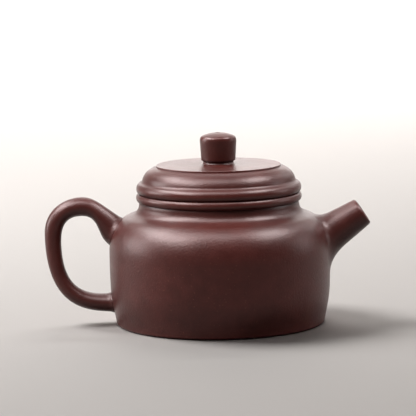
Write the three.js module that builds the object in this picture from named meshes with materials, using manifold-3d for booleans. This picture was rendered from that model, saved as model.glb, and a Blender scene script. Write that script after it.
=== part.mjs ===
// A small slab-built clay teapot: a round body with a soft shoulder and a short neck, a stub spout,
// a rolled ear handle, and a lid with a stout pierced knob. Lengths are in millimetres and +Z is up.
// The origin is on the pot's axis at the plane it stands on. The spout points along +X.
import * as THREE from "three";
import { mergeVertices } from "three/addons/utils/BufferGeometryUtils.js";
import Module from "manifold-3d";

const wasm = await Module();
wasm.setup();

// Pot
const FOOT_RADIUS = 43.4;
const BASE_THICKNESS = 3;
const BASE_EDGE_RADIUS = 45.3;
const BODY_RADIUS = 47.5;
const WALL_THICKNESS = 2.8;
const SHOULDER_SEAM = [41, 45.9];
const NECK_FOOT = [35.6, 48.6];
const NECK_TOP = [34.1, 52.9];
const MOUTH_RADIUS = 30.8;
const RIM_TOP = 56.5;
const RIM_TOP_RADIUS = 34.5;

// Lid
const SEAT_GAP = 0.1;
const LID_UNDERSIDE = RIM_TOP + SEAT_GAP;
const LID_EDGE_RADIUS = 34.6;
const THREAD_TOP = [34.4, 60.7];
const FLANGE_OUTER_RADIUS = 30.4;
const FLANGE_INNER_RADIUS = 27.9;
const FLANGE_DEPTH = 8.1;
const CROWN_RADIUS = 26.8;
const CROWN_BOTTOM = 67.7;
const CROWN_TOP = 68.5;
const COVER_THICKNESS = 3.4;
const KNOB_TOP = 82.1;
const VENT_RADIUS = 1;

// Spout: a straight bore, tapered towards the tip, inside an outer skin drawn by two rails.
const SPOUT_TIP = [61.8, 47.2];
const SPOUT_RISE = THREE.MathUtils.degToRad(33.6);
const SPOUT_TIP_HALF_WIDTH = 6;
const SPOUT_NECK_HALF_WIDTH = 7.6;
const SPOUT_ROOT_HALF_WIDTH = 11.5;
const SPOUT_RINGS = 10;
const BORE_TIP_RADIUS = 4.2;
const BORE_ROOT_RADIUS = 5.6;
const BORE_LENGTH = 30;
const BORE_OVERRUN = 4;

// Strainer: a pierced half ball luted inside the wall over the spout's opening.
const STRAINER_RADIUS = 8.6;
const STRAINER_THICKNESS = 1.5;
const STRAINER_HOLE_RADIUS = 0.95;
const STRAINER_RINGS = [
  { holes: 1, lean: 0 },
  { holes: 6, lean: 27 },
  { holes: 10, lean: 52 },
];

// Handle
const HANDLE_HALF_WIDTH = 4.3;
const HANDLE_UPPER_ROOT_HALF_WIDTH = 7.4;
const HANDLE_LOWER_ROOT_HALF_WIDTH = 5.9;
const HANDLE_FLARE_SHARE = 0.3; // of the handle's run, at each end, over which it widens

const FITTING_GAP = 0.3; // between a piece and the curved face that it is cut to
const TURN_SIDES = 48;
const KNOB_SIDES = 32;
const SPOUT_SIDES = 24;
const HANDLE_SIDES = 20;
const BORE_SIDES = 24;
const HOLE_SIDES = 8;

const CLAY = 0x58372f;
const LID_CLAY = 0x5c3a33;
const INNER_CLAY = 0x6a463b;

// Points of an outline, given as a start and a row of steps: [x, y] is a straight step,
// [c1x, c1y, c2x, c2y, x, y, pieces] a cubic curve cut into that many pieces.
function outline(start, ...steps) {
  const points = [new THREE.Vector2(...start)];
  for (const step of steps) {
    if (step.length === 2) {
      points.push(new THREE.Vector2(...step));
      continue;
    }
    const [c1x, c1y, c2x, c2y, x, y, pieces] = step;
    const curve = new THREE.CubicBezierCurve(
      points.at(-1),
      new THREE.Vector2(c1x, c1y),
      new THREE.Vector2(c2x, c2y),
      new THREE.Vector2(x, y),
    );
    points.push(...curve.getPoints(pieces).slice(1));
  }
  return points;
}

// The outline moved square to itself by a distance, to its left as it is walked when positive.
function movedLeft(points, distance) {
  return points.map((point, i) => {
    const before = points[Math.max(i - 1, 0)];
    const after = points[Math.min(i + 1, points.length - 1)];
    const along = after.clone().sub(before).normalize();
    return new THREE.Vector2(point.x - distance * along.y, point.y + distance * along.x);
  });
}

// A solid of revolution about Z. The outline is walked with the solid on its left.
function turned(points, sides = TURN_SIDES) {
  return new THREE.LatheGeometry(points, sides).rotateX(Math.PI / 2);
}

function closed(points) {
  return [...points, points[0].clone()];
}

// An oval ring in the plane of two opposite points of the XZ plane, with a half width along Y.
function ovalBetween(a, b, halfWidth, sides) {
  const ring = [];
  for (let i = 0; i < sides; i++) {
    const turn = (2 * Math.PI * i) / sides;
    const share = (1 + Math.cos(turn)) / 2;
    ring.push([
      THREE.MathUtils.lerp(b.x, a.x, share),
      halfWidth * Math.sin(turn),
      THREE.MathUtils.lerp(b.y, a.y, share),
    ]);
  }
  return ring;
}

// A closed skin over a row of rings with the same number of points.
function lofted(rings) {
  const sides = rings[0].length;
  const lastRing = (rings.length - 1) * sides;
  const triangles = [];
  for (let first = 0; first < lastRing; first += sides) {
    for (let i = 0; i < sides; i++) {
      const a = first + i;
      const b = first + ((i + 1) % sides);
      triangles.push(a, b, b + sides, a, b + sides, a + sides);
    }
  }
  for (let i = 1; i < sides - 1; i++) {
    triangles.push(0, i + 1, i);
    triangles.push(lastRing, lastRing + i, lastRing + i + 1);
  }
  const geometry = new THREE.BufferGeometry();
  geometry.setAttribute("position", new THREE.Float32BufferAttribute(rings.flat(2), 3));
  geometry.setIndex(triangles);
  return geometry;
}

// Manifold solids of closed geometries, and back.
function solidOf(geometry) {
  const bare = new THREE.BufferGeometry();
  bare.setAttribute("position", geometry.getAttribute("position"));
  bare.setIndex(geometry.getIndex());
  const merged = mergeVertices(bare, 1e-3);
  return new wasm.Manifold(
    new wasm.Mesh({
      numProp: 3,
      vertProperties: merged.getAttribute("position").array,
      triVerts: new Uint32Array(merged.getIndex().array),
    }),
  );
}

function geometryOf(solid) {
  const mesh = solid.getMesh();
  const geometry = new THREE.BufferGeometry();
  geometry.setAttribute("position", new THREE.BufferAttribute(mesh.vertProperties, 3));
  geometry.setIndex(new THREE.BufferAttribute(mesh.triVerts, 1));
  return geometry;
}

function piece(name, geometry, colour) {
  const material = new THREE.MeshStandardMaterial({ color: colour, roughness: 0.45, metalness: 0 });
  const mesh = new THREE.Mesh(geometry, material);
  mesh.name = name;
  return mesh;
}

// ---- Pot ----

const wallOutside = outline(
  [BASE_EDGE_RADIUS, BASE_THICKNESS],
  [45.8, 6, 46.9, 9.5, 47.2, 15, 3],
  [47.4, 20, BODY_RADIUS, 25, BODY_RADIUS, 31, 2],
  [BODY_RADIUS, 38.6, 44.9, 43.4, ...SHOULDER_SEAM, 6],
);
const wallInside = movedLeft(wallOutside, WALL_THICKNESS).reverse();
const shoulderInnerSeam = wallInside[0];
const shoulderSteps = [[39.2, 47.05, 36.9, 47.2, ...NECK_FOOT, 4]];

// The whole pot's outside as one filled solid, grown by a gap, to cut the fitted pieces to.
function potEnvelope(gap) {
  const grown = movedLeft(
    [...wallOutside, ...outline(SHOULDER_SEAM, ...shoulderSteps).slice(1)],
    -gap,
  );
  const [foot, top] = [grown[0], grown.at(-1)];
  return solidOf(turned([new THREE.Vector2(0, 0), new THREE.Vector2(foot.x, 0), ...grown,
    new THREE.Vector2(0, top.y)]));
}

function baseSlab() {
  return turned(outline(
    [0, 0],
    [FOOT_RADIUS, 0],
    [44.4, 0, 45, 0.5, 45.1, 1.4, 3],
    [BASE_EDGE_RADIUS, BASE_THICKNESS],
    [0, BASE_THICKNESS],
  ));
}

function bodyWall() {
  const innerFoot = new THREE.Vector2(BASE_EDGE_RADIUS - WALL_THICKNESS, BASE_THICKNESS);
  const shell = solidOf(turned(closed([...wallOutside, ...wallInside.slice(0, -1), innerFoot])));
  return geometryOf(shell.subtract(solidOf(spoutBore())));
}

function shoulderSlab() {
  const outside = outline(SHOULDER_SEAM, ...shoulderSteps);
  const inside = outline(
    [MOUTH_RADIUS, NECK_FOOT[1]],
    [MOUTH_RADIUS, 46.4],
    [MOUTH_RADIUS, 45.2, 36.5, 45.4, shoulderInnerSeam.x, shoulderInnerSeam.y, 4],
  );
  return turned(closed([...outside, ...inside]));
}

function neckCollar() {
  return turned(closed(outline(
    NECK_FOOT,
    [34.9, 49.35, 34.45, 50.2, 34.4, 51.4, 3],
    NECK_TOP,
    [MOUTH_RADIUS, NECK_TOP[1]],
    [MOUTH_RADIUS, NECK_FOOT[1]],
  )));
}

function mouthRim() {
  return turned(closed(outline(
    NECK_TOP,
    [35.3, 53, 35.9, 54.6, 35.4, 55.5, 5],
    [35.2, 56.1, 34.9, 56.45, RIM_TOP_RADIUS, RIM_TOP, 2],
    [MOUTH_RADIUS + 0.5, RIM_TOP],
    [MOUTH_RADIUS, RIM_TOP - 0.5],
    [MOUTH_RADIUS, NECK_TOP[1]],
  )));
}

// ---- Spout ----

// A point of the XZ plane on the spout's axis, so far back from its tip.
function spoutAxisPoint(distance) {
  return new THREE.Vector3(
    SPOUT_TIP[0] - distance * Math.cos(SPOUT_RISE),
    0,
    SPOUT_TIP[1] - distance * Math.sin(SPOUT_RISE),
  );
}

function spoutBore() {
  const growth = (BORE_ROOT_RADIUS - BORE_TIP_RADIUS) / BORE_LENGTH;
  const bore = new THREE.CylinderGeometry(
    BORE_TIP_RADIUS - growth * BORE_OVERRUN,
    BORE_ROOT_RADIUS,
    BORE_LENGTH + BORE_OVERRUN,
    BORE_SIDES,
  );
  const middle = spoutAxisPoint((BORE_LENGTH - BORE_OVERRUN) / 2);
  return bore
    .rotateX(Math.PI / 2)
    .rotateY(Math.PI / 2 - SPOUT_RISE)
    .translate(middle.x, middle.y, middle.z);
}

function spout() {
  const upper = new THREE.CubicBezierCurve(
    new THREE.Vector2(40.6, 45.4),
    new THREE.Vector2(46, 45.2),
    new THREE.Vector2(51, 48.6),
    new THREE.Vector2(58.4, 52.2),
  );
  const lower = new THREE.CubicBezierCurve(
    new THREE.Vector2(47.3, 18.5),
    new THREE.Vector2(47.6, 30),
    new THREE.Vector2(56, 33.4),
    new THREE.Vector2(65.2, 42.2),
  );
  const rings = [];
  for (let i = 0; i <= SPOUT_RINGS; i++) {
    const t = i / SPOUT_RINGS;
    const flare = (1 - t) ** 3;
    const halfWidth = THREE.MathUtils.lerp(SPOUT_NECK_HALF_WIDTH, SPOUT_TIP_HALF_WIDTH, t)
      + flare * (SPOUT_ROOT_HALF_WIDTH - SPOUT_NECK_HALF_WIDTH);
    rings.push(ovalBetween(lower.getPoint(t), upper.getPoint(t), halfWidth, SPOUT_SIDES));
  }
  const skin = solidOf(lofted(rings));
  return geometryOf(skin.subtract(potEnvelope(FITTING_GAP)).subtract(solidOf(spoutBore())));
}

function strainerDome() {
  const innerWallX = BODY_RADIUS - WALL_THICKNESS;
  const middle = spoutAxisPoint((SPOUT_TIP[0] - innerWallX) / Math.cos(SPOUT_RISE));
  const ball = (radius) => solidOf(
    new THREE.SphereGeometry(radius, 24, 12).translate(middle.x, middle.y, middle.z),
  );
  const cavityOutline = movedLeft(wallOutside, WALL_THICKNESS + FITTING_GAP);
  const cavity = solidOf(turned([
    new THREE.Vector2(0, cavityOutline[0].y),
    ...cavityOutline,
    new THREE.Vector2(0, cavityOutline.at(-1).y),
  ]));
  let dome = ball(STRAINER_RADIUS)
    .intersect(cavity)
    .subtract(ball(STRAINER_RADIUS - STRAINER_THICKNESS));
  for (const { holes, lean } of STRAINER_RINGS) {
    for (let i = 0; i < holes; i++) {
      const drill = new THREE.CylinderGeometry(
        STRAINER_HOLE_RADIUS, STRAINER_HOLE_RADIUS, STRAINER_RADIUS, HOLE_SIDES,
      );
      drill
        .translate(0, STRAINER_RADIUS, 0)
        .rotateZ(THREE.MathUtils.degToRad(lean))
        .rotateY((2 * Math.PI * i) / holes)
        .rotateZ(Math.PI / 2)
        .translate(middle.x, middle.y, middle.z);
      dome = dome.subtract(solidOf(drill));
    }
  }
  return geometryOf(dome);
}

// ---- Handle ----

// One rail of the handle's side view, from inside the upper joint round to inside the lower one.
function handleRail(upperRoot, upperJoint, curves, lowerRoot) {
  return [new THREE.Vector2(...upperRoot), ...outline(upperJoint, ...curves),
    new THREE.Vector2(...lowerRoot)];
}

function handle() {
  const outer = handleRail([-38.5, 42.2], [-41.6, 45.5], [
    [-51.2, 52.3, -53.8, 55.1, -59, 55.1, 5],
    [-65.4, 55.1, -75.2, 50.6, -75.2, 39.3, 6],
    [-75.2, 3, -53.2, 6.1, -46, 5, 8],
  ], [-41.5, 4.3]);
  const inner = handleRail([-42.5, 32.6], [-47.1, 34.4], [
    [-52.9, 36.9, -50.7, 46.95, -58.9, 46.95, 5],
    [-65.9, 46.95, -68.1, 42.8, -68.15, 35.7, 6],
    [-68.15, 16.9, -60.3, 12.1, -47, 13.25, 8],
  ], [-42, 12.95]);
  const rings = outer.map((point, i) => {
    const t = i / (outer.length - 1);
    const upperFlare = Math.max(0, 1 - t / HANDLE_FLARE_SHARE) ** 2;
    const lowerFlare = Math.max(0, 1 - (1 - t) / HANDLE_FLARE_SHARE) ** 2;
    const halfWidth = HANDLE_HALF_WIDTH
      + (HANDLE_UPPER_ROOT_HALF_WIDTH - HANDLE_HALF_WIDTH) * upperFlare
      + (HANDLE_LOWER_ROOT_HALF_WIDTH - HANDLE_HALF_WIDTH) * lowerFlare;
    return ovalBetween(point, inner[i], halfWidth, HANDLE_SIDES);
  });
  return geometryOf(solidOf(lofted(rings)).subtract(potEnvelope(FITTING_GAP)));
}

// ---- Lid ----

const flankSteps = [
  [33.8, 61.05, 33, 61.4, 32.8, 62.2, 3],
  [32.2, 64.7, 30.2, 66.75, CROWN_RADIUS, CROWN_BOTTOM, 4],
];

function lidThread() {
  return turned(closed(outline(
    [LID_EDGE_RADIUS, LID_UNDERSIDE],
    [35.1, 56.8, 35.5, 57.6, 35.4, 58.6, 3],
    [35.3, 59.6, 34.9, 60.2, ...THREAD_TOP, 3],
    [FLANGE_INNER_RADIUS, THREAD_TOP[1]],
    [FLANGE_INNER_RADIUS, LID_UNDERSIDE],
  )));
}

function lidCover() {
  const vaultTop = CROWN_BOTTOM - COVER_THICKNESS;
  return turned(closed(outline(
    THREAD_TOP,
    ...flankSteps,
    [VENT_RADIUS, CROWN_BOTTOM],
    [VENT_RADIUS, vaultTop],
    [20, vaultTop],
    [25, vaultTop, 27.5, 62.5, FLANGE_INNER_RADIUS, THREAD_TOP[1], 3],
  )));
}

function lidCrownDisc() {
  return turned(closed(outline(
    [VENT_RADIUS, CROWN_BOTTOM],
    [CROWN_RADIUS, CROWN_BOTTOM],
    [CROWN_RADIUS, CROWN_TOP - 0.2],
    [CROWN_RADIUS - 0.2, CROWN_TOP],
    [VENT_RADIUS, CROWN_TOP],
  )));
}

function lidFlange() {
  const bottom = LID_UNDERSIDE - FLANGE_DEPTH;
  return turned(closed(outline(
    [FLANGE_INNER_RADIUS, LID_UNDERSIDE],
    [FLANGE_INNER_RADIUS, bottom + 0.6],
    [FLANGE_INNER_RADIUS + 0.6, bottom],
    [FLANGE_OUTER_RADIUS - 0.9, bottom],
    [FLANGE_OUTER_RADIUS - 0.3, bottom + 0.6],
    [FLANGE_OUTER_RADIUS, LID_UNDERSIDE],
  )));
}

function knob() {
  return turned(closed(outline(
    [VENT_RADIUS, CROWN_TOP],
    [7.8, CROWN_TOP],
    [7.1, 68.55, 6.5, 68.85, 6.45, 69.5, 3],
    [7.2, 70.3],
    [7.38, 70.9],
    [7.82, 78.2],
    [7.88, 79.5, 7.65, 80.3, 6.8, 80.75, 3],
    [5.6, 81.35, 3.6, 81.95, VENT_RADIUS, KNOB_TOP, 3],
  )), KNOB_SIDES);
}

const pot = new THREE.Group();
pot.add(
  piece("base_slab", baseSlab(), CLAY),
  piece("body_wall", bodyWall(), CLAY),
  piece("shoulder_slab", shoulderSlab(), CLAY),
  piece("neck_collar", neckCollar(), CLAY),
  piece("mouth_rim", mouthRim(), CLAY),
  piece("spout", spout(), CLAY),
  piece("strainer_dome", strainerDome(), INNER_CLAY),
  piece("handle", handle(), CLAY),
);

const lid = new THREE.Group();
lid.add(
  piece("lid_thread", lidThread(), LID_CLAY),
  piece("lid_cover", lidCover(), LID_CLAY),
  piece("lid_crown_disc", lidCrownDisc(), LID_CLAY),
  piece("lid_flange", lidFlange(), LID_CLAY),
  piece("knob", knob(), LID_CLAY),
);

const teapot = new THREE.Group();
teapot.add(pot, lid);

export default teapot;
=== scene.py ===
import math

import bpy
import numpy as np
from mathutils import Matrix, Vector


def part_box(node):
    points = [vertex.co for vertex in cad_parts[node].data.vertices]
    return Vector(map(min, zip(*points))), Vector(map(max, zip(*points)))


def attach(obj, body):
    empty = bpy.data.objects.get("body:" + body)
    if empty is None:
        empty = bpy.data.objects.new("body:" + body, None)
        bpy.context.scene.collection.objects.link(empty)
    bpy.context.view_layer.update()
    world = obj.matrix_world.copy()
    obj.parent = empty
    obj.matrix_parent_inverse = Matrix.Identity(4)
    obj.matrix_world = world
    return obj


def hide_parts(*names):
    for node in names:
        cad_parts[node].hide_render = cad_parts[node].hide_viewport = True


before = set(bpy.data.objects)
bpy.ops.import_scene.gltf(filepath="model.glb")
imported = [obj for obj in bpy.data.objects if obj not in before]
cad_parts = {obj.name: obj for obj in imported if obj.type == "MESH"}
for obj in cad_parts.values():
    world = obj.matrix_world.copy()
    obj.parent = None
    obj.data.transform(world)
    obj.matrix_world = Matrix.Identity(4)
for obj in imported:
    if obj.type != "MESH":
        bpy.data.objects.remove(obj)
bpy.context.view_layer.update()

# A small slab-built clay teapot, in metres in the frame's own axes: +Z up, spout towards +X.
# Outlines below are written in millimetres, as the pot's own drawing is, and become metres
# when a mesh is made.
MM = 0.001

# ---------------------------------------------------------------- sizes, in millimetres
TOP_OF_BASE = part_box("base_slab")[1].z / MM
BASE_EDGE_RADIUS = 45.3
FOOT_RADIUS = 43.4
FOOT_RECESS = 0.35
BODY_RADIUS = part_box("body_wall")[1].y / MM
SHOULDER_SEAM = (41.0, 45.9)
NECK_FOOT = (35.6, 48.6)
NECK_TOP = (34.1, 52.9)
RIM_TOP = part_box("mouth_rim")[1].z / MM
LID_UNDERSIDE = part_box("lid_thread")[0].z / MM
THREAD_TOP = (34.4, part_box("lid_thread")[1].z / MM)
CROWN_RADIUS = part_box("lid_crown_disc")[1].y / MM
CROWN_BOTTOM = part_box("lid_crown_disc")[0].z / MM
CROWN_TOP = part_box("lid_crown_disc")[1].z / MM
KNOB_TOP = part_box("knob")[1].z / MM
FLANGE_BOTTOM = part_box("lid_flange")[0].z / MM
WALL_THICKNESS = 2.8
MOUTH_RADIUS = 30.8
FLANGE_INNER_RADIUS = 27.9
FLANGE_OUTER_RADIUS = 30.4
COVER_THICKNESS = 3.4
VENT_RADIUS = 1.0

# The bore's axis: the middle of its mouth, and the way that it runs out.
SPOUT_TIP = np.array([61.8, 0, 47.2])
SPOUT_RISE = math.radians(33.6)
SPOUT_WAY = np.array([math.cos(SPOUT_RISE), 0, math.sin(SPOUT_RISE)])
BORE_TIP_RADIUS = 4.2
BORE_ROOT_RADIUS = 5.6
BORE_LENGTH = 30.0
BORE_OVERRUN = 4.0

STRAINER_RADIUS = 8.6
STRAINER_THICKNESS = 1.5
STRAINER_HOLE_RADIUS = 0.95
STRAINER_EMBED = 0.4  # how far the ball's rim runs into the wall
STRAINER_RINGS = ((1, 0), (6, 27), (10, 52))  # holes, and their lean from the middle in degrees

TURN_SIDES = 256
KNOB_SIDES = 160
WALL_DRILL_SIDES = 96
STRAINER_SIDES = 80
DRILL_SIDES = 26
CAVITY_SIDES = 128


# ---------------------------------------------------------------- outlines
class Outline:
    """A row of points in a plane, each with the direction it is reached and left in."""

    def __init__(self, x, y):
        self.points = [np.array([x, y], float)]
        self.reached = [None]
        self.left = [None]

    def _step(self, point, way_out, way_in):
        if self.left[-1] is None:
            self.left[-1] = unit(way_out)
        self.points.append(np.array(point, float))
        self.reached.append(unit(way_in))
        self.left.append(None)

    def line(self, x, y, pieces=1):
        start = self.points[-1].copy()
        way = np.array([x, y], float) - start
        for i in range(1, pieces + 1):
            self._step(start + way * i / pieces, way, way)
        return self

    def curve(self, c1x, c1y, c2x, c2y, x, y, pieces=12):
        ends = [self.points[-1].copy(), np.array([c1x, c1y]), np.array([c2x, c2y]), np.array([x, y])]
        start_way = bezier_way(ends, 0.0)
        for i in range(1, pieces + 1):
            t = i / pieces
            way = bezier_way(ends, t)
            self._step(bezier_point(ends, t), start_way, way)
            start_way = way
        return self

    def arrays(self, closed):
        """Points, and the direction each is reached and left in, as arrays."""
        points, reached, left = list(self.points), list(self.reached), list(self.left)
        if closed:
            way = points[0] - points[-1]
            if np.hypot(*way) < 1e-6:
                reached[0] = reached.pop()
                points.pop()
                left.pop()
            else:
                reached[0] = left[-1] = unit(way)
        else:
            reached[0] = left[0]
            left[-1] = reached[-1]
        return np.array(points), np.array(reached), np.array(left)


def unit(vector):
    vector = np.asarray(vector, float)
    return vector / np.linalg.norm(vector)


def bezier_point(p, t):
    u = 1 - t
    return u**3 * p[0] + 3 * u * u * t * p[1] + 3 * u * t * t * p[2] + t**3 * p[3]


def bezier_way(p, t):
    u = 1 - t
    return 3 * u * u * (p[1] - p[0]) + 6 * u * t * (p[2] - p[1]) + 3 * t * t * (p[3] - p[2])


def softened(outline, radius, keep=(), closed=True, pieces=5, least_turn=20):
    """The outline with each corner rounded to a radius, but for those at the kept points."""
    points, reached, left = outline.arrays(closed)
    count = len(points)
    new = []
    for i in range(count):
        turn = math.degrees(math.acos(np.clip(reached[i] @ left[i], -1, 1)))
        kept = any(np.hypot(*(points[i] - np.array(k))) < 1e-3 for k in keep)
        on_end = not closed and i in (0, count - 1)
        if turn < least_turn or kept or on_end:
            new.append((points[i], reached[i], left[i]))
            continue
        before = np.hypot(*(points[i] - points[i - 1]))
        after = np.hypot(*(points[(i + 1) % count] - points[i]))
        reach = radius * math.tan(math.radians(turn) / 2)
        reach = min(reach, 0.45 * before, 0.45 * after)
        ends = [points[i] - reached[i] * reach, None, None, points[i] + left[i] * reach]
        pull = 0.55 * min(1.0, turn / 90) + 0.1
        ends[1] = ends[0] + reached[i] * reach * pull
        ends[2] = ends[3] - left[i] * reach * pull
        for k in range(pieces + 1):
            way = unit(bezier_way(ends, k / pieces))
            new.append((bezier_point(ends, k / pieces), way, way))
    return [np.array(column) for column in zip(*new)]


# ---------------------------------------------------------------- meshes
def mesh_object(name, vertices, faces, normals=None):
    """A mesh object from millimetre vertices, with a normal for each face corner."""
    mesh = bpy.data.meshes.new(name)
    mesh.from_pydata((np.asarray(vertices) * MM).tolist(), [], faces)
    mesh.polygons.foreach_set("use_smooth", [True] * len(mesh.polygons))
    if normals is not None:
        mesh.normals_split_custom_set(np.asarray(normals).tolist())
    mesh.update()
    made = bpy.data.objects.new(name, mesh)
    bpy.context.scene.collection.objects.link(made)
    return made


def turned(name, arrays, sides=TURN_SIDES, closed=True):
    """A solid of revolution about Z, from an outline walked with the solid on its left."""
    points, reached, left = arrays
    angle = 2 * np.pi * np.arange(sides) / sides
    cosine, sine = np.cos(angle), np.sin(angle)
    vertices, first = [], []
    for radius, height in points:
        first.append(len(vertices))
        if radius < 1e-6:
            vertices.append((0.0, 0.0, height))
        else:
            vertices.extend(zip(radius * cosine, radius * sine, np.full(sides, height)))

    def normal(way, i):
        return (way[1] * cosine[i % sides], way[1] * sine[i % sides], -way[0])

    faces, normals = [], []
    count = len(points)
    for k in range(count if closed else count - 1):
        nxt = (k + 1) % count
        low_pole, high_pole = points[k][0] < 1e-6, points[nxt][0] < 1e-6
        if low_pole and high_pole:
            continue
        for i in range(sides):
            j = (i + 1) % sides
            low_i, low_j = first[k] + i, first[k] + j
            high_i, high_j = first[nxt] + i, first[nxt] + j
            if low_pole:
                faces.append((first[k], high_j, high_i))
                ways = [(left[k], i), (reached[nxt], j), (reached[nxt], i)]
            elif high_pole:
                faces.append((low_i, low_j, first[nxt]))
                ways = [(left[k], i), (left[k], j), (reached[nxt], i)]
            else:
                faces.append((low_i, low_j, high_j, high_i))
                ways = [(left[k], i), (left[k], j), (reached[nxt], j), (reached[nxt], i)]
            normals.extend(normal(way, side) for way, side in ways)
    return mesh_object(name, vertices, faces, normals)


def grid_normals(grid, wrap_rows):
    """Unit normals of a grid of points, closed across its columns."""
    across = np.roll(grid, -1, 1) - np.roll(grid, 1, 1)
    if wrap_rows:
        along = np.roll(grid, -1, 0) - np.roll(grid, 1, 0)
    else:
        along = np.gradient(grid, axis=0)
    normals = np.cross(across, along)
    return normals / np.maximum(np.linalg.norm(normals, axis=2, keepdims=True), 1e-12)


CAP_LOOK_BACK = 3  # rows from an end to the one that its cap faces away from


def lofted(name, grid, normals, closed_rows, capped=False):
    """A skin over rows of points, closed across each row, with a normal at each point."""
    rows, columns = grid.shape[:2]
    index = np.arange(rows * columns).reshape(rows, columns)
    faces, corners = [], []
    for r in range(rows if closed_rows else rows - 1):
        nxt = (r + 1) % rows
        for c in range(columns):
            d = (c + 1) % columns
            quad = (index[r, c], index[r, d], index[nxt, d], index[nxt, c])
            faces.append(tuple(int(v) for v in quad))
            corners.extend([(r, c), (r, d), (nxt, d), (nxt, c)])
    loop_normals = [normals[r, c] for r, c in corners]
    if capped:
        for row, order in ((0, -1), (rows - 1, 1)):
            faces.append(tuple(int(v) for v in index[row][::order]))
            inner_row = row - CAP_LOOK_BACK if row else CAP_LOOK_BACK
            flat = unit(grid[row].mean(0) - grid[inner_row].mean(0))
            loop_normals.extend([flat] * columns)
    return mesh_object(name, grid.reshape(-1, 3), faces, loop_normals)


# ---------------------------------------------------------------- the pot's outside
def wall_outside():
    return (
        Outline(BASE_EDGE_RADIUS, TOP_OF_BASE)
        .curve(45.8, 6, 46.9, 9.5, 47.2, 15, 14)
        .curve(47.4, 20, BODY_RADIUS, 25, BODY_RADIUS, 31, 12)
        .curve(BODY_RADIUS, 38.6, 44.9, 43.4, *SHOULDER_SEAM, 26)
    )


def shoulder_outside():
    return Outline(*SHOULDER_SEAM).curve(39.2, 47.05, 36.9, 47.2, *NECK_FOOT, 18)


def pot_outside():
    """Points and outward normals down the pot's side, from the base to the neck."""
    rows = []
    for part in (wall_outside(), shoulder_outside()):
        points, reached, _ = part.arrays(closed=False)
        rows.extend((*p, way[1], -way[0]) for p, way in zip(points, reached))
    return np.array(rows)


POT_SIDE = pot_outside()
POT_SIDE_LENGTH = np.concatenate(
    [[0], np.cumsum(np.hypot(*np.diff(POT_SIDE[:, :2], axis=0).T))]
)


def on_pot(length, turn):
    """The point of the pot's skin, and its normal, so far up the side and round from +X."""
    radius, height, out, up = (
        np.interp(length, POT_SIDE_LENGTH, POT_SIDE[:, k]) for k in range(4)
    )
    point = np.stack([radius * np.cos(turn), radius * np.sin(turn), height], -1)
    normal = np.stack([out * np.cos(turn), out * np.sin(turn), up], -1)
    return point, normal / np.linalg.norm(normal, axis=-1, keepdims=True)


def height_over_pot(points):
    """How far points stand off the pot's side, in millimetres, below zero inside it."""
    radius = np.hypot(points[..., 0], points[..., 1])
    flat = np.stack([radius, points[..., 2]], -1)[..., None, :]
    start, end = POT_SIDE[:-1, :2], POT_SIDE[1:, :2]
    way = end - start
    length = np.maximum((way**2).sum(-1), 1e-12)
    share = np.clip(((flat - start) * way).sum(-1) / length, 0, 1)
    gap = flat - (start + way * share[..., None])
    distance = np.hypot(gap[..., 0], gap[..., 1])
    nearest = distance.argmin(-1)
    picked = np.take_along_axis(gap, nearest[..., None, None], -2)[..., 0, :]
    side = np.sign(picked[..., 0] * POT_SIDE[nearest, 2] + picked[..., 1] * POT_SIDE[nearest, 3])
    return side * distance.min(-1)


# ---------------------------------------------------------------- cutting
def cut(target, tool, operation):
    """The target after an exact boolean with the tool, which is used up."""
    modifier = target.modifiers.new("cut", "BOOLEAN")
    modifier.operation = operation
    modifier.solver = "EXACT"
    modifier.object = tool
    bpy.context.view_layer.update()
    result = target.evaluated_get(bpy.context.evaluated_depsgraph_get())
    mesh = bpy.data.meshes.new_from_object(result)
    target.modifiers.clear()
    old = target.data
    target.data = mesh
    mesh.name = target.name
    bpy.data.meshes.remove(old)
    bpy.data.objects.remove(tool)
    return target


ON_OUTLINE = 0.06  # a face whose middle is farther than this from the outline is the bore's


def normals_from_outline(target, arrays, else_normal):
    """Gives each face corner the outline's own normal, and the bore's to faces off the outline."""
    points, reached, left = arrays
    mesh = target.data
    after = np.roll(points, -1, 0)
    way = after - points
    length = np.maximum((way**2).sum(1), 1e-12)
    place = np.array([v.co for v in mesh.vertices]) / MM
    loops = []
    for face in mesh.polygons:
        centre = np.array(face.center) / MM
        flat = np.array([np.hypot(centre[0], centre[1]), centre[2]])
        share = np.clip(((flat - points) * way).sum(1) / length, 0, 1)
        gap = np.hypot(*(flat - points - way * share[:, None]).T)
        k = int(gap.argmin())
        for vertex in face.vertices:
            x, y, z = place[vertex]
            if gap[k] > ON_OUTLINE:
                loops.append(else_normal((x, y, z)))
                continue
            radius = math.hypot(x, y)
            t = np.clip((np.array([radius, z]) - points[k]) @ way[k] / length[k], 0, 1)
            turn_to = left[k] * (1 - t) + reached[(k + 1) % len(points)] * t
            out, up = turn_to[1], -turn_to[0]
            loops.append(unit([out * x / radius, out * y / radius, up]))
    mesh.polygons.foreach_set("use_smooth", [True] * len(mesh.polygons))
    mesh.normals_split_custom_set([tuple(n) for n in loops])
    mesh.update()


# ---------------------------------------------------------------- the pot
def base_disc():
    side = (
        Outline(0, FOOT_RECESS)
        .line(37.2, FOOT_RECESS, 6)
        .curve(37.9, FOOT_RECESS, 38.1, 0, 39, 0, 6)
        .line(FOOT_RADIUS, 0)
        .curve(44.5, 0, 45.0, 0.5, 45.06, 1.5, 10)
        .curve(45.12, 1.95, 45.2, 2.4, BASE_EDGE_RADIUS, TOP_OF_BASE, 4)
        .line(0, TOP_OF_BASE, 6)
    )
    seam = (BASE_EDGE_RADIUS, TOP_OF_BASE)
    return turned("base_disc", softened(side, 0.3, keep=[seam], closed=False), closed=False)


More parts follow.
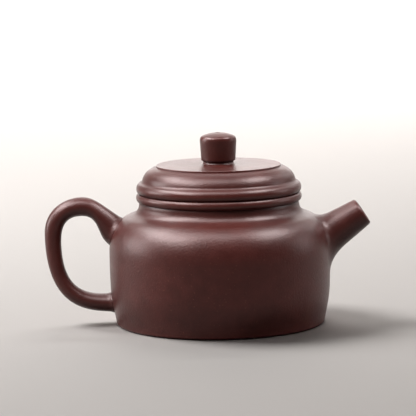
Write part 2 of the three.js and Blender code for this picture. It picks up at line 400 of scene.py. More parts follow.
def shell(outside, thickness):
    """A closed outline: an outside, and the same line moved inwards and walked back."""
    points, reached, left = outside.arrays(closed=False)
    inward = np.stack([-reached[:, 1], reached[:, 0]], 1)
    back = (points + inward * thickness)[::-1]
    made = Outline(*points[0])
    made.points = [*points, *back]
    made.reached = [None, *reached[1:], unit(back[0] - points[-1]), *(-reached[::-1][1:])]
    made.left = [*left[:-1], unit(back[0] - points[-1]), *(-left[::-1][1:]), None]
    return made


def wall_strip():
    side = shell(wall_outside(), WALL_THICKNESS)
    side.line(BASE_EDGE_RADIUS - WALL_THICKNESS, TOP_OF_BASE)
    arrays = side.arrays(closed=True)
    wall = turned("wall_strip", arrays)
    cut(wall, spout_bore("wall_drill", WALL_DRILL_SIDES), "DIFFERENCE")

    def towards_bore_axis(point):
        away = np.array(point) - SPOUT_TIP
        return -unit(away - SPOUT_WAY * (away @ SPOUT_WAY))

    normals_from_outline(wall, arrays, towards_bore_axis)
    return wall


def shoulder_disc():
    points, reached, _ = wall_outside().arrays(closed=False)
    inner_seam = points[-1] + WALL_THICKNESS * np.array([-reached[-1][1], reached[-1][0]])
    side = shoulder_outside().line(MOUTH_RADIUS, NECK_FOOT[1])
    side.line(MOUTH_RADIUS, 46.4).curve(MOUTH_RADIUS, 45.2, 36.5, 45.4, *inner_seam, 14)
    return turned("shoulder_disc", side.arrays(closed=True))


def neck_strip():
    side = (
        Outline(*NECK_FOOT)
        .curve(34.9, 49.35, 34.45, 50.2, 34.4, 51.4, 14)
        .curve(34.38, 51.9, 34.25, 52.5, *NECK_TOP, 6)
        .line(MOUTH_RADIUS, NECK_TOP[1])
        .line(MOUTH_RADIUS, NECK_FOOT[1])
    )
    return turned("neck_strip", side.arrays(closed=True))


def rim_thread():
    side = (
        Outline(*NECK_TOP)
        .curve(34.5, 52.75, 35.0, 53.0, 35.3, 53.6, 8)
        .curve(35.65, 54.3, 35.6, 55.1, 35.35, 55.6, 10)
        .curve(35.15, 56.05, 34.9, 56.3, 34.5, 56.42, 8)
        .line(33.6, RIM_TOP)
        .line(MOUTH_RADIUS, RIM_TOP)
        .line(MOUTH_RADIUS, NECK_TOP[1])
    )
    return turned("rim_thread", softened(side, 0.5, keep=[NECK_TOP, (MOUTH_RADIUS, NECK_TOP[1])]))


# ---------------------------------------------------------------- the spout
def bore_radius(distance):
    """The bore's radius so far back from the tip."""
    return BORE_TIP_RADIUS + (BORE_ROOT_RADIUS - BORE_TIP_RADIUS) * distance / BORE_LENGTH


def bore_ring(distance, angle):
    """Points round the bore so far back from the tip; angle 0 is its underside."""
    radius = bore_radius(distance)
    under = np.array([math.sin(SPOUT_RISE), 0, -math.cos(SPOUT_RISE)])
    centre = SPOUT_TIP - SPOUT_WAY * np.asarray(distance)[..., None]
    side = np.array([0, 1, 0])
    return centre + np.asarray(radius)[..., None] * (
        np.cos(angle)[..., None] * under + np.sin(angle)[..., None] * side
    )


def spout_bore(name, sides):
    """The bore as a closed solid, from past the tip to inside the pot."""
    angle = 2 * np.pi * np.arange(sides) / sides
    distances = np.array([-BORE_OVERRUN, BORE_LENGTH])
    rings = [bore_ring(np.full(sides, d), angle) for d in distances]
    vertices = np.concatenate(rings)
    faces = []
    for i in range(sides):
        j = (i + 1) % sides
        faces.append((i, sides + i, sides + j, j))
    faces.append(tuple(range(sides)))
    faces.append(tuple(range(2 * sides - 1, sides - 1, -1)))
    return mesh_object(name, vertices, faces)


SPOUT_UPPER = [np.array(p) for p in ((50.5, 48.55), (53.1, 49.78), (55.8, 51.2), (58.4, 52.4))]
SPOUT_LOWER = [np.array(p) for p in ((54.5, 33.2), (58.0, 36.2), (61.8, 39.2), (65.2, 42.25))]
SPOUT_FOOT_TOP = 46.75
SPOUT_FOOT_BOTTOM = 20.5
SPOUT_FOOT_HALF_WIDTH = 13.0
SPOUT_BLEND_HALF_WIDTH = 7.5
SPOUT_TIP_HALF_WIDTH = 6.1
SPOUT_TUBE_LENGTH = 11.5
FILLET_PULL = 1.2  # how strongly the fillet leaves the skin and meets the tube, as a share of its reach
FILLET_PULL_SWING = 0.1  # by how much that is less underneath and more on top
LIP_ROUND = 0.85
LIP_STEPS = 8
LIP_FIRST_STEP = 0.12
BORE_FIRST_STEP = 0.06
BORE_SEARCH_DEPTH = 26
BORE_SEARCH_STEPS = 400
UNDER_FILLET = (0.25, 0.6, 0.9)  # the hidden rows' places, from the bore to the fillet's edge
SPOUT_COLUMNS = 160
FILLET_ROWS = 40
TUBE_ROWS = 26
BORE_ROWS = 30
SKIN_DEPTH = 0.12  # how far the tube's hidden end lies under the pot's skin
NEARLY = 0.999  # of the way out, for the direction to the middle of the spout's foot


def spout_tube_ring(t, angle):
    """Points round the tube: t runs from the end of the blend to the tip, angle 0 is below."""
    low, high = bezier_point(SPOUT_LOWER, t), bezier_point(SPOUT_UPPER, t)
    share = (1 + np.cos(angle)) / 2
    half_width = SPOUT_BLEND_HALF_WIDTH + (SPOUT_TIP_HALF_WIDTH - SPOUT_BLEND_HALF_WIDTH) * t
    x = high[0] + (low[0] - high[0]) * share
    z = high[1] + (low[1] - high[1]) * share
    return np.stack([x, half_width * np.sin(angle), z], -1)


def pot_length_at_height(height):
    return np.interp(height, POT_SIDE[:, 1], POT_SIDE_LENGTH)


def spout_foot(angle, shrink=1.0):
    """The loop on the pot's skin where the spout's fillet ends, with the way to its middle."""
    top = pot_length_at_height(SPOUT_FOOT_TOP)
    bottom = pot_length_at_height(SPOUT_FOOT_BOTTOM)
    middle, half = (top + bottom) / 2, (top - bottom) / 2
    length = middle - half * shrink * np.cos(angle)
    radius = np.interp(length, POT_SIDE_LENGTH, POT_SIDE[:, 0])
    turn = SPOUT_FOOT_HALF_WIDTH * shrink * np.sin(angle) / radius
    point, normal = on_pot(length, turn)
    ahead, _ = on_pot(
        middle - half * shrink * NEARLY * np.cos(angle),
        SPOUT_FOOT_HALF_WIDTH * shrink * NEARLY * np.sin(angle) / radius,
    )
    inward = ahead - point
    inward -= normal * (inward * normal).sum(-1, keepdims=True)
    return point, normal, inward / np.linalg.norm(inward, axis=-1, keepdims=True)


def fillet_rows(angle):
    """Rows from the fillet's edge on the pot's skin up to the start of the tube."""
    foot, _, inward = spout_foot(angle)
    ring = spout_tube_ring(0.0, angle)
    onward = spout_tube_ring(0.01, angle) - ring
    onward /= np.linalg.norm(onward, axis=1, keepdims=True)
    reach = np.linalg.norm(ring - foot, axis=1, keepdims=True)
    pull = reach * (FILLET_PULL - FILLET_PULL_SWING * np.cos(angle))[:, None]
    made = []
    for t in np.linspace(0, 1, FILLET_ROWS, endpoint=False):
        a, b = 2 * t**3 - 3 * t * t + 1, t**3 - 2 * t * t + t
        c, d = -2 * t**3 + 3 * t * t, t**3 - t * t
        made.append(a * foot + b * pull * inward + c * ring + d * pull * onward)
    return made


def lip_rows(angle):
    """Rows over the tip: round its outer edge, and then round its inner edge into the bore."""
    tip_ring = spout_tube_ring(1.0, angle)
    tip_middle = tip_ring.mean(0)
    out = tip_ring - tip_middle
    outer = np.linalg.norm(out, axis=1, keepdims=True)
    out = out / outer
    opening = bore_ring(np.full(len(angle), 0.0), angle)
    inner = np.linalg.norm(opening - opening.mean(0), axis=1, keepdims=True)
    made = []
    for step in np.linspace(LIP_FIRST_STEP, 1, LIP_STEPS):
        a = step * np.pi / 2
        wide = outer - LIP_ROUND * (1 - math.cos(a))
        made.append(tip_middle + out * wide - SPOUT_WAY * LIP_ROUND * (1 - math.sin(a)))
    for step in np.linspace(0, 1 - LIP_FIRST_STEP, LIP_STEPS):
        a = step * np.pi / 2
        wide = inner + LIP_ROUND * (1 - math.sin(a))
        made.append(tip_middle + out * wide - SPOUT_WAY * LIP_ROUND * (1 - math.cos(a)))
    return made


def bore_rows(angle):
    """Rows down the bore to just under the pot's skin, and back out beneath the fillet."""
    distances = np.linspace(0, BORE_SEARCH_DEPTH, BORE_SEARCH_STEPS)
    lines = np.stack([bore_ring(np.full(len(angle), d), angle) for d in distances])
    depth = height_over_pot(lines) + SKIN_DEPTH
    meets = np.array([distances[np.argmax(depth[:, c] < 0)] for c in range(len(angle))])
    made = [bore_ring(LIP_ROUND + (meets - LIP_ROUND) * share, angle)
            for share in np.linspace(BORE_FIRST_STEP, 1, BORE_ROWS)]
    for share in UNDER_FILLET:
        on_skin, normal, _ = spout_foot(angle, 0.5 + 0.5 * share)
        made.append(on_skin - normal * SKIN_DEPTH)
    return made


def spout_tube():
    angle = 2 * np.pi * np.arange(SPOUT_COLUMNS) / SPOUT_COLUMNS
    tube_end = 1 - LIP_ROUND / SPOUT_TUBE_LENGTH
    rows = fillet_rows(angle)
    rows += [spout_tube_ring(t, angle) for t in np.linspace(0, tube_end, TUBE_ROWS)]
    rows += lip_rows(angle)
    rows += bore_rows(angle)
    grid = np.stack(rows)
    normals = grid_normals(grid, wrap_rows=True)
    _, foot_normal, _ = spout_foot(angle)
    normals[0] = foot_normal
    return lofted("spout_tube", grid, normals, closed_rows=True)


def half_ball():
    """The strainer's shell, from the inner ball's pole round its rim to the outer ball's pole."""
    inner = STRAINER_RADIUS - STRAINER_THICKNESS
    outline = []
    for radius, angles in ((STRAINER_RADIUS, np.linspace(90, -12, 32)),
                           (inner, np.linspace(-14, 90, 32))):
        for a in np.radians(angles):
            outline.append((radius * math.cos(a), radius * math.sin(a)))
    outline.reverse()
    side = Outline(abs(round(outline[0][0], 6)), outline[0][1])
    for x, z in outline[1:]:
        side.line(abs(round(x, 6)), z)
    return turned("strainer_ball", side.arrays(closed=False), STRAINER_SIDES, closed=False)


def pot_cavity():
    """The space inside the wall, grown by the strainer's embedding, as a solid to cut with."""
    points, _, _ = shell(wall_outside(), WALL_THICKNESS - STRAINER_EMBED).arrays(closed=True)
    inside = points[len(points) // 2:][::-1]
    cavity = Outline(0, inside[0][1])
    for x, z in inside:
        cavity.line(x, z)
    cavity.line(0, inside[-1][1])
    return turned("cavity", cavity.arrays(closed=False), CAVITY_SIDES, closed=False)


def strainer_drills(to_inside):
    """All the strainer's holes, as one object of separate pins."""
    low, high = STRAINER_RADIUS * 0.5, STRAINER_RADIUS * 1.5
    drills = None
    for holes, lean in STRAINER_RINGS:
        for i in range(holes):
            drill = Outline(0, low).line(STRAINER_HOLE_RADIUS, low)
            drill.line(STRAINER_HOLE_RADIUS, high).line(0, high)
            made = turned("drill", drill.arrays(closed=False), DRILL_SIDES, closed=False)
            made.data.transform(
                to_inside
                @ Matrix.Rotation(2 * math.pi * i / holes, 4, "Z")
                @ Matrix.Rotation(math.radians(lean), 4, "X")
            )
            drills = made if drills is None else joined(drills, made)
    return drills


def strainer_ball():
    inner_wall = BODY_RADIUS - WALL_THICKNESS
    back = (SPOUT_TIP[0] - inner_wall) / math.cos(SPOUT_RISE)
    middle = Vector((inner_wall, 0, SPOUT_TIP[2] - back * math.sin(SPOUT_RISE)))
    to_inside = Matrix.Translation(middle * MM) @ Matrix.Rotation(-math.pi / 2, 4, "Y")
    ball = half_ball()
    ball.data.transform(to_inside)
    cut(ball, pot_cavity(), "INTERSECT")
    cut(ball, strainer_drills(to_inside), "DIFFERENCE")
    ball.data.polygons.foreach_set("use_smooth", [True] * len(ball.data.polygons))
    ball.data.set_sharp_from_angle(angle=math.radians(35))
    return ball


def joined(first, second):
    """One object holding both meshes."""
    bpy.ops.object.select_all(action="DESELECT")
    for made in (first, second):
        made.select_set(True)
    bpy.context.view_layer.objects.active = first
    bpy.ops.object.join()
    return first


# ---------------------------------------------------------------- the handle
HANDLE_HALF_WIDTH = 4.3
UPPER_ROOT_WIDENING = 2.1
LOWER_ROOT_WIDENING = 0.6
ROOT_SHARE = 0.3  # of the handle's run, at each end, over which it widens
WELD_REACH = 2.4
WELD_SWELL = np.array([0.35, 1.1, 0.35])  # the smeared joint is wider sideways than up and down


def handle_rails():
    """Points along the handle's outer and inner lines, from the upper joint to the lower."""
    outer = (
        Outline(-40.9, 44.98).line(-41.6, 45.5, 2)
        .curve(-51.2, 52.3, -53.8, 55.1, -59, 55.1, 40)
        .curve(-65.4, 55.1, -75.2, 50.6, -75.2, 39.3, 40)
        .curve(-75.2, 3, -53.2, 6.1, -46, 5, 70)
        .line(-45.0, 4.85, 2)
    )
    inner = (
        Outline(-46.3, 34.09).line(-47.1, 34.4, 2)
        .curve(-52.9, 36.9, -50.7, 46.95, -58.9, 46.95, 40)
        .curve(-65.9, 46.95, -68.1, 42.8, -68.15, 35.7, 40)
        .curve(-68.15, 16.9, -60.3, 12.1, -47, 13.25, 70)
        .line(-46.0, 13.35, 2)
    )
    return np.array(outer.points), np.array(inner.points)


def handle_roll(columns=96):
    outer, inner = handle_rails()
    middle = (outer + inner) / 2
    run = np.concatenate([[0], np.cumsum(np.hypot(*np.diff(middle, axis=0).T))])
    run /= run[-1]
    angle = 2 * np.pi * np.arange(columns) / columns
    upper_flare = np.clip(1 - run / ROOT_SHARE, 0, 1) ** 2
    lower_flare = np.clip(1 - (1 - run) / ROOT_SHARE, 0, 1) ** 2
    half_width = (HANDLE_HALF_WIDTH + UPPER_ROOT_WIDENING * upper_flare
                  + LOWER_ROOT_WIDENING * lower_flare)
    share = ((1 + np.cos(angle)) / 2)[None, :, None]
    flat = inner[:, None] + (outer - inner)[:, None] * share
    across = half_width[:, None] * np.sin(angle)[None]
    grid = np.stack([flat[..., 0], across, flat[..., 1]], -1)
    centre = np.stack([middle[:, 0], np.zeros(len(middle)), middle[:, 1]], -1)[:, None]
    out = grid - centre
    out /= np.linalg.norm(out, axis=2, keepdims=True)
    near = np.clip(1 - np.clip(height_over_pot(grid), 0, None) / WELD_REACH, 0, 1)
    grid = grid + out * WELD_SWELL * (near**2)[..., None]
    normals = grid_normals(grid, wrap_rows=False)
    return lofted("handle_roll", grid, normals, closed_rows=False, capped=True)


# ---------------------------------------------------------------- the lid
def lid_edge_thread():
    side = (
        Outline(33.4, LID_UNDERSIDE)
        .line(34.5, LID_UNDERSIDE + 0.06)
        .curve(35.1, 56.85, 35.42, 57.6, 35.4, 58.6, 12)
        .curve(35.38, 59.5, 34.95, 60.2, *THREAD_TOP, 12)
        .line(FLANGE_INNER_RADIUS, THREAD_TOP[1])
        .line(FLANGE_INNER_RADIUS, LID_UNDERSIDE)
    )
    return turned("lid_edge_thread", softened(side, 0.25, keep=[THREAD_TOP]))


def lid_vault():
    vault = CROWN_BOTTOM - COVER_THICKNESS
    side = (
        Outline(*THREAD_TOP)
        .curve(33.8, 61.05, 33.0, 61.4, 32.8, 62.2, 14)
        .curve(32.2, 64.7, 30.2, 66.75, CROWN_RADIUS, CROWN_BOTTOM, 20)
        .line(VENT_RADIUS, CROWN_BOTTOM, 4)
        .line(VENT_RADIUS, vault)
        .line(20, vault, 6)
        .curve(25, vault, 27.5, 62.5, FLANGE_INNER_RADIUS, THREAD_TOP[1], 12)
    )
    return turned("lid_vault", side.arrays(closed=True))


def lid_disc():
    side = (
        Outline(VENT_RADIUS, CROWN_BOTTOM)
        .line(CROWN_RADIUS, CROWN_BOTTOM, 4)
        .line(CROWN_RADIUS - 0.05, CROWN_TOP - 0.08)
        .line(CROWN_RADIUS - 1.2, CROWN_TOP - 0.06, 2)
        .line(VENT_RADIUS, CROWN_TOP, 8)
    )
    return turned("lid_disc", softened(side, 0.3, keep=[(CROWN_RADIUS, CROWN_BOTTOM)]))


def lid_collar():
    side = (
        Outline(FLANGE_INNER_RADIUS, LID_UNDERSIDE)
        .line(FLANGE_INNER_RADIUS + 0.1, FLANGE_BOTTOM)
        .line(FLANGE_OUTER_RADIUS - 0.4, FLANGE_BOTTOM)
        .line(FLANGE_OUTER_RADIUS, LID_UNDERSIDE)
    )
    return turned("lid_collar", softened(side, 0.8))


def lid_knob():
    side = (
        Outline(VENT_RADIUS, CROWN_TOP)
        .line(7.8, CROWN_TOP, 2)
        .curve(7.1, 68.55, 6.5, 68.85, 6.45, 69.5, 10)
        .line(6.55, 69.75)
        .line(7.2, 70.3)
        .curve(7.33, 70.45, 7.36, 70.6, 7.38, 70.9, 5)
        .line(7.82, 78.2, 3)
        .curve(7.88, 79.5, 7.65, 80.3, 6.8, 80.75, 12)
        .curve(5.6, 81.35, 3.6, 81.95, 1.5, KNOB_TOP - 0.05, 12)
        .curve(1.2, KNOB_TOP, 1.02, KNOB_TOP - 0.1, VENT_RADIUS, KNOB_TOP - 0.45, 5)
    )
    return turned("lid_knob", softened(side, 0.2, keep=[(7.8, CROWN_TOP)]), KNOB_SIDES)


# ---------------------------------------------------------------- materials
FLECK_CLAY = (0.095, 0.036, 0.023)
# How far past the light tone the rubbed rings are lightened: partly wear, partly a painted highlight
# along the beads and edges.
WEAR_AND_SHEEN_LIGHTENING = 1.75


def node(tree, kind, values=None, **settings):
    """A shader node with some of its settings and its input values given."""
    made = tree.nodes.new(kind)
    for name, value in settings.items():
        setattr(made, name, value)
    for name, value in (values or {}).items():
        made.inputs[name].default_value = value
    return made


def link(tree, source, output, target, entry):
    tree.links.new(source.outputs[output], target.inputs[entry])


def ramp(tree, source, output, stops):
    """A colour ramp fed by a node: each stop is a position and a grey value or a colour."""
    made = tree.nodes.new("ShaderNodeValToRGB")
    elements = made.color_ramp.elements
    while len(elements) < len(stops):
        elements.new(0.5)
    for element, (position, colour) in zip(elements, stops):
        element.position = position
        grey = not isinstance(colour, tuple)
        element.color = (colour,) * 3 + (1,) if grey else (*colour, 1)
    link(tree, source, output, made, "Fac")
    return made


def clay_patterns(tree):
    """The patterns that the clay's colour, polish and grain are made from, by name."""
    place = node(tree, "ShaderNodeTexCoord")
    patterns = {
        "clouds": node(tree, "ShaderNodeTexNoise", {"Scale": 38, "Detail": 5, "Roughness": 0.6}),
        "blotches": node(tree, "ShaderNodeTexNoise", {"Scale": 210, "Detail": 4, "Roughness": 0.65}),
        "sand": node(tree, "ShaderNodeTexNoise", {"Scale": 2600, "Detail": 2, "Roughness": 0.6}),
        "pimples": node(tree, "ShaderNodeTexNoise", {"Scale": 1150, "Detail": 3, "Roughness": 0.6}),
        "flecks": node(tree, "ShaderNodeTexVoronoi", {"Scale": 850, "Randomness": 1.0}),
    }
    for pattern in patterns.values():
        link(tree, place, "Object", pattern, "Vector")
    # Long shallow marks round the pot, left by the horn that burnishes it.
    stretch = node(tree, "ShaderNodeMapping")
    stretch.inputs["Scale"].default_value = (1, 1, 14)
    link(tree, place, "Object", stretch, "Vector")
    strokes = node(tree, "ShaderNodeTexNoise", {"Scale": 45, "Detail": 5, "Roughness": 0.6})
    link(tree, stretch, "Vector", strokes, "Vector")
    patterns["strokes"] = strokes
    # How much each point is lightened and smoothed: rubbing wear, and painted highlight lines along the
    # beads, edges and the spout's lip.
    patterns["worn"] = node(tree, "ShaderNodeAttribute", attribute_name="edge")
    return patterns


def colour_clay(tree, skin, patterns, dark, middle, light, specks):
    """Mottled clay with pale flecks, lighter where it is rubbed and where a painted highlight runs
    along the beads and edges.
    """
    tone = node(tree, "ShaderNodeMix", {0: 0.38}, data_type="FLOAT")
    link(tree, patterns["clouds"], "Fac", tone, 2)
    link(tree, patterns["blotches"], "Fac", tone, 3)
    body = ramp(tree, tone, 0, [(0.34, dark), (0.5, middle), (0.68, light)])

    fleck_share = ramp(tree, patterns["flecks"], "Distance", [(0.0, 1.0), (0.16, 0.75), (0.24, 0.0)])
    fleck_pick = ramp(tree, patterns["flecks"], "Color", [(0.68, 0.0), (0.74, specks)])
    fleck_mask = node(tree, "ShaderNodeMath", operation="MULTIPLY")
    link(tree, fleck_share, "Color", fleck_mask, 0)
    link(tree, fleck_pick, "Color", fleck_mask, 1)
    spotted = node(tree, "ShaderNodeMix", data_type="RGBA")
    spotted.inputs["B"].default_value = (*FLECK_CLAY, 1)
    link(tree, fleck_mask, 0, spotted, "Factor")
    link(tree, body, "Color", spotted, 6)

    # Lightening towards a paler tone: rubbing wear, and painted highlight lines along the beads, edges
    # and the spout's lip.
    wear_and_sheen_amount = node(tree, "ShaderNodeMath", {1: 0.22}, operation="MULTIPLY")
    link(tree, patterns["worn"], "Fac", wear_and_sheen_amount, 0)
    wear_and_sheen_colour = node(tree, "ShaderNodeMix", data_type="RGBA")
    wear_and_sheen_colour.inputs["B"].default_value = (*(WEAR_AND_SHEEN_LIGHTENING * c for c in light), 1)
    link(tree, wear_and_sheen_amount, 0, wear_and_sheen_colour, "Factor")
    link(tree, spotted, 2, wear_and_sheen_colour, 6)
    link(tree, wear_and_sheen_colour, 2, skin, "Base Color")


def polish_clay(tree, skin, patterns, roughness):
    """Uneven polish along the burnishing marks, smoother where it is rubbed."""
    rough_mix = node(tree, "ShaderNodeMix", {0: 0.5}, data_type="FLOAT")
    link(tree, patterns["strokes"], "Fac", rough_mix, 2)
    link(tree, patterns["blotches"], "Fac", rough_mix, 3)
    rough = node(tree, "ShaderNodeMapRange", {
        "From Min": 0.3, "From Max": 0.7, "To Min": roughness - 0.03, "To Max": roughness + 0.035,
    })
    link(tree, rough_mix, 0, rough, "Value")
    smoother = node(tree, "ShaderNodeMath", {1: -0.08}, operation="MULTIPLY")
    link(tree, patterns["worn"], "Fac", smoother, 0)
    rough_sum = node(tree, "ShaderNodeMath", operation="ADD")
    link(tree, rough, "Result", rough_sum, 0)
    link(tree, smoother, 0, rough_sum, 1)
    link(tree, rough_sum, 0, skin, "Roughness")


def grain_clay(tree, skin, patterns, grain):
    """Burnishing marks, pimples and sand, each a bump on top of the one before."""
    below = None
    for pattern, strength, depth in (
        ("strokes", 0.35, 0.000018), ("pimples", 0.7, 0.00016), ("sand", 0.5, 0.00003),
    ):
        bump = node(tree, "ShaderNodeBump", {"Strength": strength, "Distance": depth * grain})
        link(tree, patterns[pattern], "Fac", bump, "Height")
        if below is not None:
            link(tree, below, "Normal", bump, "Normal")
        below = bump
    link(tree, below, "Normal", skin, "Normal")


def clay(name, dark, middle, light, roughness, grain, specks):
    """Fired unglazed clay: mottled, sandy, and burnished unevenly by the potter's tools."""
    material = bpy.data.materials.new(name)
    material.use_nodes = True
    tree = material.node_tree
    tree.nodes.clear()
    out = node(tree, "ShaderNodeOutputMaterial")
    skin = node(tree, "ShaderNodeBsdfPrincipled", {
        "IOR": 1.5, "Coat Weight": 0.05, "Coat Roughness": 0.25, "Specular IOR Level": 0.40,
        "Specular Tint": (1.0, 0.80, 0.79, 1.0),
    })
    link(tree, skin, "BSDF", out, "Surface")
    patterns = clay_patterns(tree)
    colour_clay(tree, skin, patterns, dark, middle, light, specks)
    polish_clay(tree, skin, patterns, roughness)
    grain_clay(tree, skin, patterns, grain)
    return material


# Where hands, cloths and the lid rub, and where painted highlight lines run along the beads and edges:
# radius, height and reach of the polish and lightening.
WEAR_AND_SHEEN_RINGS = [
    (44.9, 0.6, 1.2),
    (35.4, 55.3, 1.0),
    (35.4, 58.9, 1.4),
    (26.7, 68.4, 0.7),
    (7.6, 80.1, 1.3),
]
# Reach of the lightening round the spout's lip: wear and a painted highlight line.
LIP_WEAR_AND_SHEEN = 1.1
SPOUT_WEAR_AND_SHEEN_FROM = 50  # along X, past the wall
THUMB_REST = np.array([-62.0, 0.0, 55.0])
THUMB_REACH = 11.0


def wear_and_sheen_edges(piece):
    """Stores on each point, from 0 to 1, how much it is lightened and smoothed: rubbing wear at the
    thumb rest, and wear plus a painted highlight line along each ring and the spout's lip.
    """
    mesh = piece.data
    place = np.empty(len(mesh.vertices) * 3)
    mesh.vertices.foreach_get("co", place)
    place = place.reshape(-1, 3) / MM
    radius = np.hypot(place[:, 0], place[:, 1])
    worn = 0.5 * (1 - np.linalg.norm(place - THUMB_REST, axis=1) / THUMB_REACH)
    for ring_radius, height, reach in WEAR_AND_SHEEN_RINGS:
        distance = np.hypot(radius - ring_radius, place[:, 2] - height)
        worn = np.maximum(worn, 1 - distance / reach)
    from_tip = (place - SPOUT_TIP) @ SPOUT_WAY
    on_spout = place[:, 0] > SPOUT_WEAR_AND_SHEEN_FROM
    worn = np.where(on_spout, np.maximum(worn, 1 - np.abs(from_tip) / LIP_WEAR_AND_SHEEN), worn)
    attribute = mesh.attributes.new("edge", "FLOAT", "POINT")
    attribute.data.foreach_set("value", np.clip(worn, 0, 1).astype(np.float32))


# Dark, middle and light tones of the outside, and of the strainer's unpolished clay.
CLAY_TONES = [(0.0245, 0.0041, 0.0030), (0.0335, 0.0060, 0.0045), (0.0465, 0.0093, 0.0074)]
RAW_TONES = [(0.05, 0.015, 0.011), (0.07, 0.022, 0.016), (0.095, 0.033, 0.024)]


def dress(piece, body, nodes, material):
    """Gives a finished piece its wear, with painted highlight lines along its edges, and its clay, and
    ties it to the CAD nodes it shows.
    """
    wear_and_sheen_edges(piece)
    piece.data.materials.clear()
    piece.data.materials.append(material)
    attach(piece, body)
    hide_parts(*nodes)
    return piece


def build_teapot():
    pot_clay = clay("pot_clay", *CLAY_TONES, roughness=0.37, grain=1.0, specks=0.55)
    lid_clay = clay("lid_clay", *CLAY_TONES, roughness=0.36, grain=0.9, specks=0.55)
    raw_clay = clay("raw_clay", *RAW_TONES, roughness=0.6, grain=1.6, specks=0.8)
    pot = {
        "base_slab": base_disc, "body_wall": wall_strip, "shoulder_slab": shoulder_disc,
        "neck_collar": neck_strip, "mouth_rim": rim_thread, "spout": spout_tube,
        "handle": handle_roll,
    }
    lid = {
        "lid_thread": lid_edge_thread, "lid_cover": lid_vault, "lid_crown_disc": lid_disc,
        "lid_flange": lid_collar, "knob": lid_knob,
    }
    pieces = [dress(make(), "pot", [name], pot_clay) for name, make in pot.items()]
    pieces.append(dress(strainer_ball(), "pot", ["strainer_dome"], raw_clay))
    pieces += [dress(make(), "lid", [name], lid_clay) for name, make in lid.items()]
    return pieces


# ---------------------------------------------------------------- stage, lights, camera
CAMERA_DISTANCE = 1.032
CAMERA_PITCH = math.radians(8.0)
CAMERA_ROLL = math.radians(0.9)
LOOK_HEIGHT = 0.043
FRAME_WIDTH = 0.17888  # what the picture takes in at the camera's distance, in metres
FRAME_SHIFT = (-0.0272, 0.0358)
SENSOR_MM = 36.0

SWEEP_FRONT = -4.0
SWEEP_BEND_START = 1.5
SWEEP_BEND_RADIUS = 0.6
SWEEP_BEND_STEPS = 24
SWEEP_HEIGHT = 3.0
SWEEP_HALF_WIDTH = 6.0

LAMP_DISTANCE = 1.05
# Lamps round the pot: name, azimuth, elevation, width, height and power in watts. The teapot's
# lamps light nothing else. The floor's lamps light the teapot too.
TEAPOT_LAMPS = [
    ("overhead_box", 22, 68, 0.90, 0.45, 10),
    ("left_high_box", 70, 46, 0.85, 0.45, 20),
    ("left_low_box", 98, 14, 0.55, 0.42, 6),
    ("right_high_box", -84, 54, 0.60, 0.42, 14),
    ("right_low_box", -100, 14, 0.42, 0.42, 1.6),
    ("rim_box", -135, 28, 0.42, 0.42, 1),
    ("back_box", 180, 12, 0.70, 0.25, 0.85),
]
FLOOR_LAMPS = [
    ("floor_left_box", 112, 50, 0.50, 0.42, 8),
    ("floor_back_box", 180, 62, 0.60, 0.42, 1),
]


def add_camera():
    data = bpy.data.cameras.new("camera")
    data.sensor_width = SENSOR_MM
    data.lens = SENSOR_MM * CAMERA_DISTANCE / FRAME_WIDTH
    data.shift_x, data.shift_y = FRAME_SHIFT
    data.clip_start = 0.05
    data.clip_end = 50
    camera = bpy.data.objects.new("camera", data)
    bpy.context.scene.collection.objects.link(camera)
    turn = Matrix.Rotation(math.pi / 2 - CAMERA_PITCH, 4, "X") @ Matrix.Rotation(-CAMERA_ROLL, 4, "Z")
    spot = Vector((0, -CAMERA_DISTANCE * math.cos(CAMERA_PITCH),
                   LOOK_HEIGHT + CAMERA_DISTANCE * math.sin(CAMERA_PITCH)))
    camera.matrix_world = Matrix.Translation(spot) @ turn
    bpy.context.scene.camera = camera


def sweep_paint():
    """Pale matt paint, the same all over."""
    material = bpy.data.materials.new("sweep_paint")
    material.use_nodes = True
    shader = material.node_tree.nodes["Principled BSDF"]
    shader.inputs["Base Color"].default_value = (0.74, 0.70, 0.67, 1)
    shader.inputs["Roughness"].default_value = 0.8
    return material


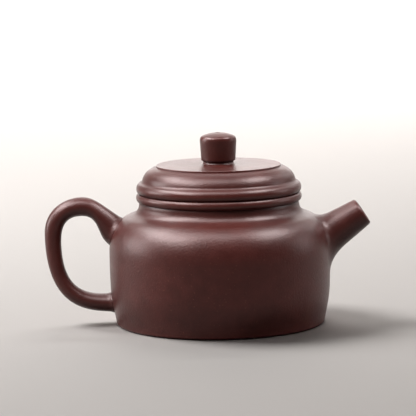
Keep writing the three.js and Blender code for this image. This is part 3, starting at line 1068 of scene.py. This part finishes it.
def add_stage():
    """A pale sweep: a flat floor that curves up behind the pot into a wall."""
    paint = sweep_paint()
    side = [(SWEEP_FRONT, 0.0), (SWEEP_BEND_START, 0.0)]
    for step in range(1, SWEEP_BEND_STEPS + 1):
        turn = math.pi / 2 * step / SWEEP_BEND_STEPS
        side.append((SWEEP_BEND_START + SWEEP_BEND_RADIUS * math.sin(turn),
                     SWEEP_BEND_RADIUS * (1 - math.cos(turn))))
    side.append((SWEEP_BEND_START + SWEEP_BEND_RADIUS, SWEEP_HEIGHT))
    vertices = [(x, y, z) for y, z in side for x in (-SWEEP_HALF_WIDTH, SWEEP_HALF_WIDTH)]
    faces = [(2 * k, 2 * k + 1, 2 * k + 3, 2 * k + 2) for k in range(len(side) - 1)]
    mesh = bpy.data.meshes.new("sweep")
    mesh.from_pydata(vertices, [], faces)
    mesh.polygons.foreach_set("use_smooth", [True] * len(faces))
    mesh.materials.append(paint)
    sweep = bpy.data.objects.new("sweep", mesh)
    bpy.context.scene.collection.objects.link(sweep)


def softbox(name, place, aim, width, height, power, lights_only=None):
    """A rectangular white lamp; with lights_only set, it lights that collection and nothing else."""
    data = bpy.data.lights.new(name, "AREA")
    data.shape = "RECTANGLE"
    data.size = width
    data.size_y = height
    data.energy = power
    lamp = bpy.data.objects.new(name, data)
    lamp.location = place
    lamp.rotation_euler = (Vector(aim) - Vector(place)).to_track_quat("-Z", "Y").to_euler()
    lamp.visible_camera = False
    bpy.context.scene.collection.objects.link(lamp)
    if lights_only is not None:
        lamp.light_linking.receiver_collection = lights_only


def round_the_pot(azimuth, elevation):
    """A place for a lamp: azimuth runs from the viewer's side towards the left, in degrees."""
    turn, rise = math.radians(azimuth), math.radians(elevation)
    level = LAMP_DISTANCE * math.cos(rise)
    height = LOOK_HEIGHT + LAMP_DISTANCE * math.sin(rise)
    return (-level * math.sin(turn), -level * math.cos(turn), height)


def add_lights(pieces):
    pot_only = bpy.data.collections.new("pot_only")
    for piece in pieces:
        pot_only.objects.link(piece)
    middle = (0, 0, LOOK_HEIGHT)
    for lamps, receivers in ((TEAPOT_LAMPS, pot_only), (FLOOR_LAMPS, None)):
        for name, azimuth, elevation, width, height, power in lamps:
            place = round_the_pot(azimuth, elevation)
            softbox(name, place, middle, width, height, power, lights_only=receivers)
    wall = SWEEP_BEND_START + SWEEP_BEND_RADIUS
    softbox("wall_box", (0, 1.15, 1.5), (0, wall, 0.6), 1.2, 0.4, 40)
    world = bpy.data.worlds.new("studio")
    bpy.context.scene.world = world
    world.use_nodes = True
    world.node_tree.nodes["Background"].inputs["Color"].default_value = (0.80, 0.76, 0.75, 1)
    world.node_tree.nodes["Background"].inputs["Strength"].default_value = 0.07
    bpy.context.scene.view_settings.view_transform = "Standard"


teapot = build_teapot()
add_stage()
add_lights(teapot)
add_camera()
